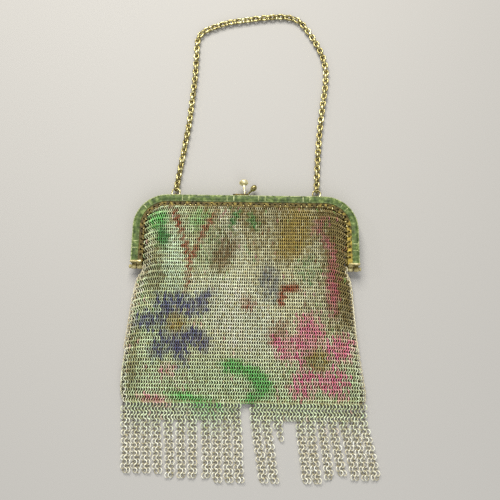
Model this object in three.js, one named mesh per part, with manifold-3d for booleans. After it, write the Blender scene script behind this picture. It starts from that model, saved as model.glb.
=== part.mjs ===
// Mesh purse: a hinged metal frame with a kiss clasp and a chain handle, carrying a bag of
// fine ring mesh with a fringe of mesh strips along its foot. It lies closed, on its back.
// Millimetres. X runs across the purse, Y from the fringe towards the chain, and Z up from
// the surface. Places are measured from the middle of the frame's top outer edge.

import * as THREE from 'three';
import { mergeVertices } from 'three/addons/utils/BufferGeometryUtils.js';
import Module from 'manifold-3d';

const wasm = await Module();
wasm.setup();

// Driving dimensions

const GAP = 0.3;

const FRAME = { width: 100, drop: 31.2, corner: 15, parting: 4, wall: 0.9, arcSteps: 8 };
const BAND = { width: 3.2, edge: 3.2, shoulder: 3.65, crown: 3.8, round: 0.6 };
const FLANGE = { width: 2.1, low: 2.5, high: 3.1 };
const PIERCING = { radius: 0.5, pitch: 2.36, endMargin: 1.6, sides: 6 };
const TICK = { thickness: 0.5, rise: 0.14, inset: 0.35, pairGap: 3 };
// Pairs of raised ticks: across = X on the top bar, turn = degrees round a corner, down = Y on a leg
const TICK_PAIRS = { across: [-27, -7, 7, 27], turn: [48], down: [-23.5] };

const HINGE = { drop: 1.45, barrel: 1.1, bore: 0.75, plate: 1, sides: 10 };
const KNUCKLE = { length: 2.15, apart: 0.4, inset: 0.5 };
const PIN = { radius: 0.45, head: 0.85, rim: 0.5, crown: 0.5, dome: 0.4, inset: 0.3 };

const LUG = { across: 32.2, above: 1.2, height: 2, radius: 1.2, base: 1.1, bore: 0.65, thickness: 0.8 };
const END_RING = { radius: 1.8, wire: 0.35, sides: 14, wireSides: 6 };

const CLASP = { leafThickness: 0.6, leafWidth: 1.8, stemFoot: 0.5, stemNeck: 0.8, sides: 10 };
const CLASP_POSTS = [
  { node: 'clasp_ball_front', leaf: [-6, 0.8], foot: -0.6, height: 6, ball: [-1.2, 7, 5.4], radius: 1.7 },
  { node: 'clasp_ball_back', leaf: [-4.4, 1.6], foot: 0.9, height: 2.2, ball: [3.3, 5, 3.3], radius: 1.6 },
];

const CHAIN = { radius: 1.7, sides: 8, steps: 64 };
// The chain's route over the surface, from the left ring round to the right one
const CHAIN_ROUTE = [
  { x: -32.1, y: 5.6 }, { x: -31.2, y: 12.2 }, { x: -29.9, y: 21.3 }, { x: -28.7, y: 30 },
  { x: -27.6, y: 38.3 }, { x: -26.9, y: 47 }, { x: -26.2, y: 56 }, { x: -25.7, y: 65 },
  { x: -25.5, y: 73 }, { x: -25.4, y: 80.6 }, { x: -24.6, y: 85.4 }, { x: -21.8, y: 88.8 },
  { x: -17, y: 91.3 }, { x: -10.8, y: 93.6 }, { x: -4.1, y: 95 }, { x: 3, y: 96.2 },
  { x: 9.5, y: 97.1 }, { x: 16, y: 97.6 }, { x: 21.6, y: 96.8 }, { x: 25.3, y: 94.8 },
  { x: 28.2, y: 91.2 }, { x: 30.8, y: 87 }, { x: 33.4, y: 82.3 }, { x: 35.6, y: 77.4 },
  { x: 37.2, y: 72 }, { x: 37.8, y: 65.6 }, { x: 37.2, y: 57.4 }, { x: 36.3, y: 51 },
  { x: 35.4, y: 44 }, { x: 34.3, y: 35 }, { x: 33.5, y: 26 }, { x: 32.8, y: 16 }, { x: 32.3, y: 5.6 },
];

const BAG = { wall: 1.3, side: 1.6, mouthCut: 2, columns: 18, bulge: 3, foldFade: 12, foot: -90.5 };
// Sides of the bag below the frame's feet: how far it reaches to the left and the right
const BAG_SIDES = [
  { y: -31.5, left: 44.4, right: 44.4 },
  { y: -34.6, left: 44.5, right: 44.3 },
  { y: -38, left: 47.2, right: 46.4 },
  { y: -44, left: 48.9, right: 47.4 },
  { y: -57, left: 50.5, right: 48.6 },
  { y: -69, left: 51.9, right: 49.7 },
  { y: -80, left: 52.8, right: 51.2 },
  { y: -87, left: 52.4, right: 52 },
  { y: -90.5, left: 51, right: 51.4 },
];
// Height of the front mesh over the surface: at its side edges, and along its middle
const BAG_HEIGHTS = [
  { y: -5.6, edge: 7.45, crown: 7.45 },
  { y: -15, edge: 7.45, crown: 7.3 },
  { y: -31.5, edge: 7.4, crown: 7.2 },
  { y: -38, edge: 5, crown: 6.8 },
  { y: -44, edge: 3.8, crown: 6.4 },
  { y: -57, edge: 3.2, crown: 5.6 },
  { y: -69, edge: 3, crown: 4.9 },
  { y: -80, edge: 2.9, crown: 4.1 },
  { y: -90.5, edge: 2.8, crown: 2.9 },
];
// Soft folds down the front: where the middle is, how long and wide, its slant and its rise
const FOLDS = [
  { x: -40, y: -52, length: 22, width: 4, slant: 0.16, rise: 0.7 },
  { x: -31, y: -54, length: 20, width: 3.5, slant: 0.12, rise: -0.7 },
  { x: -12, y: -58, length: 26, width: 6, slant: -0.1, rise: 0.5 },
  { x: 10, y: -60, length: 24, width: 5, slant: 0.08, rise: -0.5 },
  { x: 27, y: -58, length: 26, width: 5, slant: -0.05, rise: 0.5 },
  { x: 40, y: -54, length: 20, width: 3.5, slant: -0.1, rise: -0.6 },
];
// Where the bag's cross sections are taken: degrees round its top corners, then places down from them
const BAG_CORNER_TURNS = [90, 67.5, 45, 22.5, 0];
const BAG_ROWS = [-20, -25.5, -31.5, -34.6, -38, -44, -50, -57, -63, -69, -75, -80, -85, -90.5];

const FRINGE = { thickness: 1.3, headDepth: 4.6, stripWidth: 4, tipWidth: 3.9 };
// Strips of the fringe: the middle of each at the head and at the tip, and where the tip lies
const LEFT_STRIPS = [
  { head: -48.8, tip: -47.1, end: -119.9 },
  { head: -44.7, tip: -43, end: -119.9 },
  { head: -40.5, tip: -38.9, end: -119.8 },
  { head: -36.2, tip: -34.3, end: -118.9 },
  { head: -31.1, tip: -29.1, end: -120.3 },
  { head: -26.1, tip: -24.4, end: -120.8 },
  { head: -21.3, tip: -19.8, end: -120.9 },
  { head: -15.4, tip: -14.2, end: -121.2 },
  { head: -11.2, tip: -10, end: -121.6 },
  { head: -7, tip: -5.4, end: -122 },
  { head: -2.8, tip: -0.8, end: -122.5 },
];
const RIGHT_STRIPS = [
  { head: 4.9, tip: 8.9, end: -121.8 },
  { head: 9.3, tip: 13.3, end: -121.8 },
  { head: 14.4, tip: 16, end: -106.5 },
  { head: 23.6, tip: 26.4, end: -122 },
  { head: 27.8, tip: 30.5, end: -121.9 },
  { head: 32.4, tip: 35.7, end: -120.7 },
  { head: 36.9, tip: 40.8, end: -119.3 },
  { head: 41.2, tip: 46.6, end: -120.2 },
  { head: 45.4, tip: 50.7, end: -120.2 },
  { head: 49.6, tip: 54.8, end: -120.1 },
];

// Finishes

const enamel = new THREE.MeshStandardMaterial({ color: 0x6b7d3f, roughness: 0.45, metalness: 0.3 });
const gilt = new THREE.MeshStandardMaterial({ color: 0xa8843f, roughness: 0.35, metalness: 0.9 });
const ringMesh = new THREE.MeshStandardMaterial({ color: 0xb4b692, roughness: 0.4, metalness: 0.7 });

// Solids: joining, cutting and closing

function toSolid(geometry) {
  const bare = geometry.clone();
  bare.deleteAttribute('normal');
  bare.deleteAttribute('uv');
  const merged = mergeVertices(bare);
  return new wasm.Manifold(new wasm.Mesh({
    numProp: 3,
    vertProperties: Float32Array.from(merged.attributes.position.array),
    triVerts: Uint32Array.from(merged.index.array),
  }));
}

function toGeometry(solid) {
  const { vertProperties, triVerts } = solid.getMesh();
  const geometry = new THREE.BufferGeometry();
  geometry.setAttribute('position', new THREE.BufferAttribute(Float32Array.from(vertProperties), 3));
  geometry.setIndex(Array.from(triVerts));
  return geometry;
}

function join(geometries) {
  return geometries.map(toSolid).reduce((whole, piece) => whole.add(piece));
}

// A closed geometry from points and faces, turned right side out
function closed(points, faces) {
  let volume = 0;
  const corner = [new THREE.Vector3(), new THREE.Vector3(), new THREE.Vector3()];
  for (let i = 0; i < faces.length; i += 3) {
    corner.forEach((vector, k) => vector.fromArray(points, 3 * faces[i + k]));
    volume += corner[0].dot(corner[1].cross(corner[2]));
  }
  const geometry = new THREE.BufferGeometry();
  geometry.setAttribute('position', new THREE.Float32BufferAttribute(points, 3));
  geometry.setIndex(volume > 0 ? faces : [...faces].reverse());
  return geometry;
}

function box(x, y, z) {
  const geometry = new THREE.BoxGeometry(x[1] - x[0], y[1] - y[0], z[1] - z[0]);
  return geometry.translate((x[0] + x[1]) / 2, (y[0] + y[1]) / 2, (z[0] + z[1]) / 2);
}

// A cylinder along X, between two places on it
function rodAlongX(radius, x, y, z, sides) {
  const geometry = new THREE.CylinderGeometry(radius, radius, x[1] - x[0], sides);
  return geometry.rotateZ(Math.PI / 2).translate((x[0] + x[1]) / 2, y, z);
}

// Smooth reading of a table's column at a height, through its rows from the top down
function readTable(table, column, y) {
  const last = table.length - 1;
  const slope = (i) => {
    const a = table[Math.max(i - 1, 0)];
    const b = table[Math.min(i + 1, last)];
    return (b[column] - a[column]) / (b.y - a.y);
  };
  let i = table.findIndex((row) => row.y < y) - 1;
  if (i < 0) i = y >= table[0].y ? 0 : last - 1;
  const span = table[i + 1].y - table[i].y;
  const t = THREE.MathUtils.clamp((y - table[i].y) / span, 0, 1);
  const from = table[i][column];
  const to = table[i + 1][column];
  return (2 * t ** 3 - 3 * t ** 2 + 1) * from + (t ** 3 - 2 * t ** 2 + t) * span * slope(i)
    + (3 * t ** 2 - 2 * t ** 3) * to + (t ** 3 - t ** 2) * span * slope(i + 1);
}

// The frame: two stamped halves, alike, that meet at the parting plane

const HALF_WIDTH = FRAME.width / 2;
const CORNER_X = HALF_WIDTH - FRAME.corner;

// A place on the frame's outer edge, with the direction that points into the frame
const onLeg = (side, y) => ({ x: side * HALF_WIDTH, y, inX: -side, inY: 0 });
const onTop = (x) => ({ x, y: 0, inX: 0, inY: -1 });
function onCorner(side, degrees) {
  const turn = THREE.MathUtils.degToRad(degrees);
  const out = { x: side * Math.cos(turn), y: Math.sin(turn) };
  return {
    x: side * CORNER_X + FRAME.corner * out.x,
    y: FRAME.corner * (out.y - 1),
    inX: -out.x,
    inY: -out.y,
  };
}

function frameStations() {
  const turns = Array.from({ length: FRAME.arcSteps + 1 }, (_, i) => (90 * i) / FRAME.arcSteps);
  return [
    onLeg(-1, -FRAME.drop),
    ...turns.map((degrees) => onCorner(-1, degrees)),
    ...turns.toReversed().map((degrees) => onCorner(1, degrees)),
    onLeg(1, -FRAME.drop),
  ];
}

// A section, given as inset from the outer edge and height off the parting plane, swept along
function sweep(section, stations, face) {
  const count = section.length;
  const points = stations.flatMap((station) => section.flatMap(([inset, height]) => [
    station.x + station.inX * inset,
    station.y + station.inY * inset,
    FRAME.parting + face * height,
  ]));
  const faces = [];
  for (let i = 0; i < stations.length - 1; i += 1) {
    for (let j = 0; j < count; j += 1) {
      const a = i * count + j;
      const b = i * count + ((j + 1) % count);
      faces.push(a, b, a + count, b, b + count, a + count);
    }
  }
  const outline = section.map(([inset, height]) => new THREE.Vector2(inset, height));
  const end = (stations.length - 1) * count;
  for (const [a, b, c] of THREE.ShapeUtils.triangulateShape(outline, [])) {
    faces.push(a, c, b, end + a, end + b, end + c);
  }
  return closed(points, faces);
}

function halfSection() {
  const inner = BAND.width + FLANGE.width;
  return [
    [0, GAP / 2], [FRAME.wall, GAP / 2], [FRAME.wall, FLANGE.low], [inner, FLANGE.low],
    [inner, FLANGE.high], [BAND.width, FLANGE.high], [BAND.width, BAND.edge],
    [BAND.width - BAND.round, BAND.shoulder], [BAND.width / 2, BAND.crown],
    [BAND.round, BAND.shoulder], [0, BAND.edge],
  ];
}

function tickSection() {
  return [
    [TICK.inset, FLANGE.high], [BAND.width - TICK.inset, FLANGE.high],
    [BAND.width - BAND.round, BAND.shoulder + TICK.rise], [BAND.width / 2, BAND.crown + TICK.rise],
    [BAND.round, BAND.shoulder + TICK.rise],
  ];
}

// Each tick runs straight across the band, half its thickness to either side of its place
function ticks(face) {
  const pair = [-TICK.pairGap / 2, TICK.pairGap / 2];
  const perDegree = (FRAME.corner * Math.PI) / 180;
  const places = [
    ...TICK_PAIRS.across.flatMap((x) => pair.map((step) => onTop(x + step))),
    ...[-1, 1].flatMap((side) => TICK_PAIRS.turn.flatMap(
      (degrees) => pair.map((step) => onCorner(side, degrees + step / perDegree)),
    )),
    ...[-1, 1].flatMap((side) => TICK_PAIRS.down.flatMap((y) => pair.map((step) => onLeg(side, y + step)))),
  ];
  return places.map((place) => {
    const shifted = (step) => ({ ...place, x: place.x - place.inY * step, y: place.y + place.inX * step });
    return sweep(tickSection(), [shifted(-TICK.thickness / 2), shifted(TICK.thickness / 2)], face);
  });
}

// Places along the middle of the flange, evenly spaced from foot to foot
function piercingPlaces() {
  const inset = BAND.width + FLANGE.width / 2;
  const leg = FRAME.drop - FRAME.corner - PIERCING.endMargin;
  const arc = (FRAME.corner - inset) * (Math.PI / 2);
  const half = leg + arc + CORNER_X;
  const count = Math.floor((2 * half) / PIERCING.pitch);
  return Array.from({ length: count }, (_, i) => {
    const fromMiddle = (i - (count - 1) / 2) * PIERCING.pitch;
    const side = Math.sign(fromMiddle) || 1;
    const along = Math.abs(fromMiddle);
    let place = onTop(fromMiddle);
    if (along > CORNER_X + arc) place = onLeg(side, -FRAME.corner - (along - CORNER_X - arc));
    else if (along > CORNER_X) place = onCorner(side, 90 * (1 - (along - CORNER_X) / arc));
    return { x: place.x + place.inX * inset, y: place.y + place.inY * inset };
  });
}

function piercings(face) {
  const depth = 2 * (FLANGE.high - FLANGE.low);
  const z = FRAME.parting + (face * (FLANGE.high + FLANGE.low)) / 2;
  return piercingPlaces().map(({ x, y }) => {
    const hole = new THREE.CylinderGeometry(PIERCING.radius, PIERCING.radius, depth, PIERCING.sides);
    return hole.rotateX(Math.PI / 2).translate(x, y, z);
  });
}

// Each foot is closed by a plate that carries one barrel of the hinge; the front half's barrel
// sits on the inside, the back half's beside it on the outside
const HINGE_Y = -FRAME.drop - HINGE.drop;
const FOOT_INNER = HALF_WIDTH - BAND.width - FLANGE.width;
const KNUCKLE_START = { front: FOOT_INNER + KNUCKLE.inset };
KNUCKLE_START.back = KNUCKLE_START.front + KNUCKLE.length + KNUCKLE.apart;

const mirrored = (side, range) => (side > 0 ? range : [-range[1], -range[0]]);
const faced = (face, range) => {
  const ends = range.map((height) => FRAME.parting + face * height);
  return face > 0 ? ends : ends.reverse();
};

function foot(side, face) {
  const start = face > 0 ? KNUCKLE_START.front : KNUCKLE_START.back;
  const barrelX = mirrored(side, [start, start + KNUCKLE.length]);
  const plateX = mirrored(side, [KNUCKLE_START.front, HALF_WIDTH - FRAME.wall / 2]);
  const plateY = [-FRAME.drop, -FRAME.drop + HINGE.plate];
  return [
    box(plateX, plateY, faced(face, [GAP / 2, (FLANGE.low + FLANGE.high) / 2])),
    box(barrelX, [HINGE_Y, -FRAME.drop + HINGE.plate / 2], faced(face, [GAP / 2, HINGE.barrel])),
    rodAlongX(HINGE.barrel, barrelX, HINGE_Y, FRAME.parting, HINGE.sides),
  ];
}

function hingeBore(side) {
  const x = mirrored(side, [FOOT_INNER, HALF_WIDTH + GAP]);
  return rodAlongX(HINGE.bore, x, HINGE_Y, FRAME.parting, HINGE.sides);
}

// A round lug on the back half's top edge, bored for the chain's end ring
function lug(side) {
  const x = [side * LUG.across - LUG.thickness / 2, side * LUG.across + LUG.thickness / 2];
  return {
    body: [
      rodAlongX(LUG.radius, x, LUG.above, LUG.height, HINGE.sides),
      box(x, [-FRAME.wall / 2, LUG.above], [LUG.height - LUG.base, LUG.height + LUG.base]),
    ],
    bore: rodAlongX(LUG.bore, [x[0] - GAP, x[1] + GAP], LUG.above, LUG.height, HINGE.sides),
  };
}

function frameHalf(face, lugs) {
  const metal = join([
    sweep(halfSection(), frameStations(), face),
    ...ticks(face),
    ...[-1, 1].flatMap((side) => foot(side, face)),
    ...lugs.flatMap((each) => each.body),
  ]);
  const cuts = join([
    ...piercings(face),
    ...[-1, 1].map(hingeBore),
    ...lugs.map((each) => each.bore),
  ]);
  return toGeometry(metal.subtract(cuts));
}

// The hinge pins: a plain rod with a round head outside the foot

function hingePin(side) {
  const start = FOOT_INNER + PIN.inset;
  const neck = KNUCKLE_START.back + KNUCKLE.length + GAP;
  const profile = [
    new THREE.Vector2(0, start),
    new THREE.Vector2(PIN.radius, start),
    new THREE.Vector2(PIN.radius, neck),
    new THREE.Vector2(PIN.head, neck),
    new THREE.Vector2(PIN.head, neck + PIN.rim),
    new THREE.Vector2(PIN.crown, neck + PIN.rim + PIN.dome),
    new THREE.Vector2(0, neck + PIN.rim + PIN.dome),
  ];
  const pin = toGeometry(toSolid(new THREE.LatheGeometry(profile, HINGE.sides)));
  return pin.rotateZ((-side * Math.PI) / 2).translate(0, HINGE_Y, FRAME.parting);
}

// The kiss clasp: on each half a flat leaf along the top edge, with a leaning stem and a ball

function claspPost({ leaf, foot: footX, height, ball, radius }) {
  const top = GAP + CLASP.leafThickness;
  const from = new THREE.Vector3(footX, top - CLASP.leafThickness / 2, height);
  const to = new THREE.Vector3(...ball);
  const lean = to.clone().sub(from);
  const stem = new THREE.CylinderGeometry(CLASP.stemNeck, CLASP.stemFoot, lean.length(), CLASP.sides);
  const upright = new THREE.Vector3(0, 1, 0);
  const turn = new THREE.Quaternion().setFromUnitVectors(upright, lean.clone().normalize());
  stem.applyQuaternion(turn).translate(...from.add(to).multiplyScalar(0.5).toArray());
  const knob = new THREE.SphereGeometry(radius, CLASP.sides, CLASP.sides - 2).translate(...ball);
  const strip = box(leaf, [GAP, top], [height - CLASP.leafWidth / 2, height + CLASP.leafWidth / 2]);
  return toGeometry(join([strip, stem, knob]));
}

// The handle: a ring through each lug, and the chain that lies round between the rings

function endRing(side) {
  const ring = new THREE.TorusGeometry(END_RING.radius, END_RING.wire, END_RING.wireSides, END_RING.sides);
  return ring.translate(side * LUG.across, LUG.above + END_RING.radius, LUG.height);
}

function chainTube() {
  const route = CHAIN_ROUTE.map(({ x, y }) => new THREE.Vector3(x, y, CHAIN.radius));
  const reach = CHAIN.radius / Math.cos(Math.PI / CHAIN.sides);
  const section = new THREE.Shape(Array.from({ length: CHAIN.sides }, (_, i) => {
    const turn = ((i + 0.5) * 2 * Math.PI) / CHAIN.sides;
    return new THREE.Vector2(reach * Math.cos(turn), reach * Math.sin(turn));
  }));
  const extrudePath = new THREE.CatmullRomCurve3(route);
  return new THREE.ExtrudeGeometry(section, { steps: CHAIN.steps, extrudePath });
}

// The bag: front and back walls of ring mesh, joined down the sides and along the foot, and open
// between the two halves of the frame

const BAG_CORNER = FRAME.corner - BAND.width - FLANGE.width - GAP;
const MOUTH_END = BAG_SIDES[0].y;

function bagSides(y) {
  if (y < MOUTH_END) {
    return { left: -readTable(BAG_SIDES, 'left', y), right: readTable(BAG_SIDES, 'right', y) };
  }
  const rise = THREE.MathUtils.clamp(y + FRAME.corner, 0, BAG_CORNER);
  const half = CORNER_X + Math.sqrt(BAG_CORNER ** 2 - rise ** 2);
  return { left: -half, right: half };
}

function foldRise(x, y) {
  return FOLDS.reduce((sum, fold) => {
    const down = y - fold.y;
    const across = x - fold.x - fold.slant * down;
    return sum + fold.rise * Math.exp(-((across / fold.width) ** 2) - (down / fold.length) ** 2);
  }, 0);
}

// Height of the front mesh over the surface
function frontHeight(x, y) {
  const { left, right } = bagSides(y);
  const edge = readTable(BAG_HEIGHTS, 'edge', y);
  const crown = readTable(BAG_HEIGHTS, 'crown', y);
  const offset = Math.min(Math.abs((2 * x - left - right) / (right - left)), 1);
  const bulge = 1 - offset ** BAG.bulge;
  const fade = (distance) => THREE.MathUtils.clamp(distance / BAG.foldFade, 0, 1);
  const folded = foldRise(x, y) * fade(y - BAG.foot) * fade(MOUTH_END - y);
  return edge + (crown - edge + folded) * bulge;
}

// A slab over rows of places from side to side, between a floor and a roof
function slab(rows, floor, roof) {
  const across = BAG.columns + 1;
  const points = [];
  for (const { y, left, right } of rows) {
    for (let k = 0; k < across; k += 1) {
      const x = left + ((right - left) * k) / BAG.columns;
      points.push(x, y, floor, x, y, roof(x, y));
    }
  }
  const at = (row, column, upper) => 2 * (row * across + column) + upper;
  const faces = [];
  const quad = (a, b, c, d) => faces.push(a, b, c, a, c, d);
  const last = rows.length - 1;
  for (let i = 0; i < last; i += 1) {
    for (let k = 0; k < BAG.columns; k += 1) {
      quad(at(i, k, 1), at(i + 1, k, 1), at(i + 1, k + 1, 1), at(i, k + 1, 1));
      quad(at(i, k, 0), at(i, k + 1, 0), at(i + 1, k + 1, 0), at(i + 1, k, 0));
    }
    quad(at(i, 0, 0), at(i + 1, 0, 0), at(i + 1, 0, 1), at(i, 0, 1));
    quad(at(i, BAG.columns, 1), at(i + 1, BAG.columns, 1), at(i + 1, BAG.columns, 0), at(i, BAG.columns, 0));
  }
  for (let k = 0; k < BAG.columns; k += 1) {
    quad(at(0, k, 0), at(0, k, 1), at(0, k + 1, 1), at(0, k + 1, 0));
    quad(at(last, k, 0), at(last, k + 1, 0), at(last, k + 1, 1), at(last, k, 1));
  }
  return closed(points, faces);
}

function bagRows() {
  const corner = BAG_CORNER_TURNS.map(
    (degrees) => -FRAME.corner + BAG_CORNER * Math.sin(THREE.MathUtils.degToRad(degrees)),
  );
  return [...corner, ...BAG_ROWS].map((y) => ({ y, ...bagSides(y) }));
}

// Rows of the hollow: inside the joined sides and foot, and run out past the mouth
function hollowRows(rows) {
  return rows.map(({ y, left, right }, i) => {
    const inset = y < MOUTH_END ? BAG.side : -BAG.mouthCut;
    let level = y;
    if (i === 0) level += BAG.mouthCut;
    if (i === rows.length - 1) level += BAG.side;
    return { y: level, left: left + inset, right: right - inset };
  });
}

function bag() {
  const rows = bagRows();
  const outer = toSolid(slab(rows, 0, frontHeight));
  const hollow = toSolid(slab(hollowRows(rows), BAG.wall, (x, y) => frontHeight(x, y) - BAG.wall));
  return toGeometry(outer.subtract(hollow));
}

// The fringe: strips of mesh that run on from a head along the bag's foot

function fringe(strips) {
  const top = BAG.foot - GAP;
  const neck = top - FRINGE.headDepth;
  const halfHead = FRINGE.stripWidth / 2;
  const halfTip = FRINGE.tipWidth / 2;
  const outline = [[strips.at(-1).head + halfHead, top], [strips[0].head - halfHead, top]];
  for (const { head, tip, end } of strips) {
    outline.push([head - halfHead, neck], [tip - halfTip, end]);
    outline.push([tip + halfTip, end], [head + halfHead, neck]);
  }
  const shape = new THREE.Shape(outline.map(([x, y]) => new THREE.Vector2(x, y)));
  return new THREE.ExtrudeGeometry(shape, { depth: FRINGE.thickness, bevelEnabled: false });
}

// The purse

const purse = new THREE.Group();

function piece(name, geometry, material) {
  const mesh = new THREE.Mesh(geometry, material);
  mesh.name = name;
  purse.add(mesh);
}

piece('frame_front', frameHalf(1, []), enamel);
piece('frame_back', frameHalf(-1, [lug(-1), lug(1)]), enamel);
piece('hinge_pin_left', hingePin(-1), gilt);
piece('hinge_pin_right', hingePin(1), gilt);
CLASP_POSTS.forEach((post) => piece(post.node, claspPost(post), gilt));
piece('chain_ring_left', endRing(-1), gilt);
piece('chain_ring_right', endRing(1), gilt);
piece('chain', chainTube(), gilt);
piece('mesh_bag', bag(), ringMesh);
piece('fringe_left', fringe(LEFT_STRIPS), ringMesh);
piece('fringe_right', fringe(RIGHT_STRIPS), ringMesh);

// The origin is the middle of the foot of the purse's box
const bounds = new THREE.Box3().setFromObject(purse);
const middle = bounds.getCenter(new THREE.Vector3());
purse.position.set(-middle.x, -middle.y, -bounds.min.z);

const part = new THREE.Group();
part.add(purse);

export default part;
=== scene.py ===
import math

import bmesh
import bpy
import numpy as np
from bmesh.types import BMEdge, BMVert
from mathutils import Matrix, Vector


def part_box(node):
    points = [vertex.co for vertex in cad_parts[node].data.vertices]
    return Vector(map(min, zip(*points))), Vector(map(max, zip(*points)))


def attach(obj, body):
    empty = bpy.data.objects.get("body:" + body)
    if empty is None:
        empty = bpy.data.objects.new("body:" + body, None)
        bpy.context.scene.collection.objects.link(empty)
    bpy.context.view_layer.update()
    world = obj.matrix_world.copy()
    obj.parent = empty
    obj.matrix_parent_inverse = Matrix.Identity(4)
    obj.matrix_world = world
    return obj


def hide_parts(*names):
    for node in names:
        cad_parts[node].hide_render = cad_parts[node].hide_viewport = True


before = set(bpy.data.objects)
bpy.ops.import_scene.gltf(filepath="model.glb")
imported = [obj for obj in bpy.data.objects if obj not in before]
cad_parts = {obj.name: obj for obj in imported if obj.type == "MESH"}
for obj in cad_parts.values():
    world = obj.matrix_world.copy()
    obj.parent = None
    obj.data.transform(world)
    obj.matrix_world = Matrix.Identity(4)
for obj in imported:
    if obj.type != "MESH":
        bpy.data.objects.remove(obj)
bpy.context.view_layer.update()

# The view: the purse lies on a pale sheet and is seen from above, a little from the fringe's side.
# A broad soft light stands beyond the handle, a small one at the left, and a weak one fills in from
# the fringe's side. Sizes and places are in millimetres, from the middle of the frame's top edge.
MM = 0.001
front_low, front_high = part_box("frame_front")
CENTRE_X = (front_low.x + front_high.x) / 2
TOP_Y = front_high.y
IN_PART = Matrix.Translation((CENTRE_X, TOP_Y, 0)) @ Matrix.Scale(MM, 4)

IMAGE_PIXELS = 500
FOCAL_PIXELS = 600
CAMERA_PLACE = Vector((2.05, -95.55, 260.2))
CAMERA_TILT = math.radians(15.5)
CAMERA_ROLL = math.radians(0.8)
SHEET_WIDTH = 1600
SHEET_COLOUR = (0.43, 0.415, 0.385, 1)
SHEET_ROUGHNESS = 0.7
WARM_LIGHT = (1, 0.98, 0.94)
COOL_LIGHT = (0.95, 0.97, 1)
LIGHT_AIM = Vector((0, -20, 0))
LIGHTS = [
    {"name": "window", "place": Vector((-70, 330, 460)), "size": 340, "watts": 4, "colour": WARM_LIGHT},
    {"name": "side", "place": Vector((-420, 120, 330)), "size": 60, "watts": 0.16, "colour": WARM_LIGHT},
    {"name": "fill", "place": Vector((60, -380, 420)), "size": 500, "watts": 1.6, "colour": COOL_LIGHT},
]
SKY_COLOUR = (0.93, 0.96, 1, 1)
SKY_STRENGTH = 0.3


def placed(name, data):
    """An object of some data, put into the scene."""
    item = bpy.data.objects.new(name, data)
    bpy.context.scene.collection.objects.link(item)
    return item


def meshed(name, bm):
    """A mesh from a bmesh, which is freed."""
    mesh = bpy.data.meshes.new(name)
    bm.to_mesh(mesh)
    bm.free()
    return mesh


def new_finish(name):
    """A material, its node tree and its shader."""
    finish = bpy.data.materials.new(name)
    finish.use_nodes = True
    return finish, finish.node_tree, finish.node_tree.nodes["Principled BSDF"]


def fed(tree, node, inputs):
    """A node whose inputs are fed by other nodes' outputs or set to plain values."""
    for name, value in inputs.items():
        if isinstance(value, bpy.types.NodeSocket):
            tree.links.new(value, node.inputs[name])
        else:
            node.inputs[name].default_value = value
    return node


camera_data = bpy.data.cameras.new("camera")
camera_data.lens = camera_data.sensor_width * FOCAL_PIXELS / IMAGE_PIXELS
camera = placed("camera", camera_data)
camera.location = IN_PART @ CAMERA_PLACE
camera.rotation_mode = "ZYX"
camera.rotation_euler = (CAMERA_TILT, 0, CAMERA_ROLL)
bpy.context.scene.camera = camera
bpy.context.scene.view_settings.view_transform = "Standard"
# The denoiser takes the weave of the fine rings for noise and smears it
bpy.context.scene.cycles.use_denoising = False

for light in LIGHTS:
    lamp_data = bpy.data.lights.new(light["name"], "AREA")
    lamp_data.size = light["size"] * MM
    lamp_data.energy = light["watts"]
    lamp_data.color = light["colour"]
    lamp = placed(light["name"], lamp_data)
    lamp.location = IN_PART @ light["place"]
    lamp.rotation_euler = (LIGHT_AIM - light["place"]).to_track_quat("-Z", "Y").to_euler()

sky = bpy.data.worlds.new("sky")
sky.use_nodes = True
sky_shader = sky.node_tree.nodes["Background"]
fed(sky.node_tree, sky_shader, {"Color": SKY_COLOUR, "Strength": SKY_STRENGTH})
bpy.context.scene.world = sky

sheet_bm = bmesh.new()
bmesh.ops.create_grid(sheet_bm, x_segments=1, y_segments=1, size=SHEET_WIDTH * MM / 2)
sheet_mesh = meshed("floor", sheet_bm)
sheet_finish, sheet_tree, sheet_shader = new_finish("pale_sheet")
fed(sheet_tree, sheet_shader, {"Base Color": SHEET_COLOUR, "Roughness": SHEET_ROUGHNESS})
sheet_mesh.materials.append(sheet_finish)
floor = placed("floor", sheet_mesh)

# The frame's bands: two hollow arches stamped from brass sheet, alike, that meet where the
# purse parts. Their crowned faces between two thin rims are enamelled green, crossed by pairs
# of raised ticks, and worn pale along the rims and ticks.
HALF_WIDTH = (front_high.x - front_low.x) / (2 * MM)
DROP = 31.2
CORNER = 15.0
CORNER_X = HALF_WIDTH - CORNER
CORNER_STEPS = 24
PARTING = 4.0
HALF_GAP = 0.15
WALL = 0.9
BAND_WIDTH = 3.2
FLANGE_LOW = 2.5
# Points of the outer rim from its edge in: inset, height off the parting and wear
RIM = [(0, 3.2, 0.9), (0.06, 3.4, 1), (0.2, 3.52, 1), (0.36, 3.52, 0.9)]
RIM_WIDTH = 0.5
FIELD_WIDTH = BAND_WIDTH - 2 * RIM_WIDTH
FIELD_EDGE = 3.44
CROWN_RISE = 0.34
CROWN_POINTS = 7
FIELD_WEAR = 0.12
INNER_WEAR_SHARE = 0.3
PARTING_WEAR = 0.3
TICK = {"thickness": 0.42, "foot": 3.1, "rise": 0.15, "inset": 0.3, "points": 5, "wear": 1.0}
TICK_PAIR_GAP = 3.0
# Middles of the pairs of ticks: along the outer edge from the frame's centre line
TICK_PAIRS = [7, 27, 46, 67.1]
HALVES = {"front": 1, "back": -1}
CREASE = math.radians(38)
# Most of a mottle lies between these
MOTTLE_RANGE = (0.3, 0.7)


def paint(red, green, blue):
    """A colour as it looks, from 0 to 255, as the linear values that shaders take."""
    shares = [value / 255 for value in (red, green, blue)]
    return tuple(s / 12.92 if s <= 0.04045 else ((s + 0.055) / 1.055) ** 2.4 for s in shares) + (1.0,)


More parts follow.
